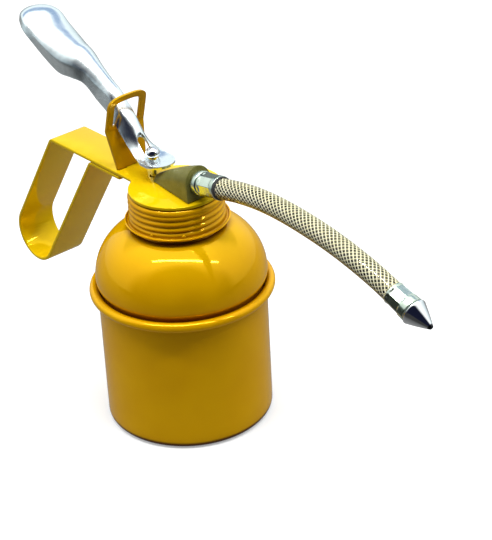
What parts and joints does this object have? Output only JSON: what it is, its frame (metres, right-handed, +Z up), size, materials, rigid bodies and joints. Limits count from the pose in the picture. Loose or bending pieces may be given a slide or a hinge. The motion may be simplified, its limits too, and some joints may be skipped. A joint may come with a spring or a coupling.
{
  "type": "pump oil can",
  "caption": "Thumb-lever pump oil can with a screw-on pump head, strap handle and braided flexible spout, for squirting oil onto bearings and machine parts",
  "frame": {"origin": "centre of the can's flat base, on the surface it stands on", "axes": "+Z up along the can's axis, +X toward the spout's nozzle, -X toward the handle"},
  "size_m": [0.2676, 0.0826, 0.1672],
  "materials": {
    "yellow_paint": "glossy yellow enamel on pressed steel",
    "polished_aluminium": "bright polished sheet",
    "bright_steel": "bright drawn steel",
    "plated_metal": "bright plated turned steel",
    "pump_brass": "plain machined brass",
    "cast_zinc": "olive grey casting with a slight sheen",
    "black_rubber": "matt black rubber",
    "cup_leather": "oiled leather",
    "braided_sleeve": "pale braid under a clear jacket"
  },
  "bodies": {
    "can": {"can_cup": "yellow_paint", "can_dome": "yellow_paint"},
    "seal": {"cap_gasket": "black_rubber"},
    "head": {"screw_cap": "yellow_paint", "handle_strap": "yellow_paint", "lever_stirrup": "yellow_paint", "outlet_block": "cast_zinc", "pump_head": "cast_zinc", "pump_barrel": "pump_brass", "rod_packing": "black_rubber", "foot_valve": "pump_brass", "foot_ball": "bright_steel", "suction_tube": "bright_steel", "return_spring": "bright_steel", "stud_washer": "black_rubber", "stud_nut": "pump_brass", "discharge_ball": "bright_steel", "discharge_spring": "bright_steel", "hose_fitting": "plated_metal", "base_ferrule": "plated_metal", "hose": "braided_sleeve", "tip_ferrule": "plated_metal", "nozzle_tip": "plated_metal"},
    "lever": {"lever": "polished_aluminium"},
    "plunger": {"plunger_rod": "bright_steel", "piston": "pump_brass", "piston_cup": "cup_leather", "piston_nut": "pump_brass"}
  },
  "joints": [
    {"name": "cap_rise", "type": "slide", "parent": "can", "child": "seal", "axis": [0, 0, 1], "range_m": [0, 0.0084]},
    {"name": "cap_turn", "type": "hinge", "parent": "seal", "child": "head", "pos_m": [0, 0, 0.103], "axis": [0, 0, 1], "range_deg": [0, 1080]},
    {"name": "lever_press", "type": "hinge", "parent": "head", "child": "lever", "pos_m": [-0.03325, 0, 0.1314], "axis": [0, -1, 0], "range_deg": [0, 22], "stiffness_Nm_per_rad": 0.46, "springref_deg": -21.2},
    {"name": "plunger_lift", "type": "slide", "parent": "head", "child": "plunger", "axis": [0, 0, 1], "range_m": [0, 0.0083], "deforming": ["return_spring"]}
  ],
  "couplings": [
    {"joint": "cap_turn", "follows": "cap_rise", "rad_per_m": 2244},
    {"joint": "plunger_lift", "follows": "lever_press", "m_per_rad": 0.0214}
  ]
}
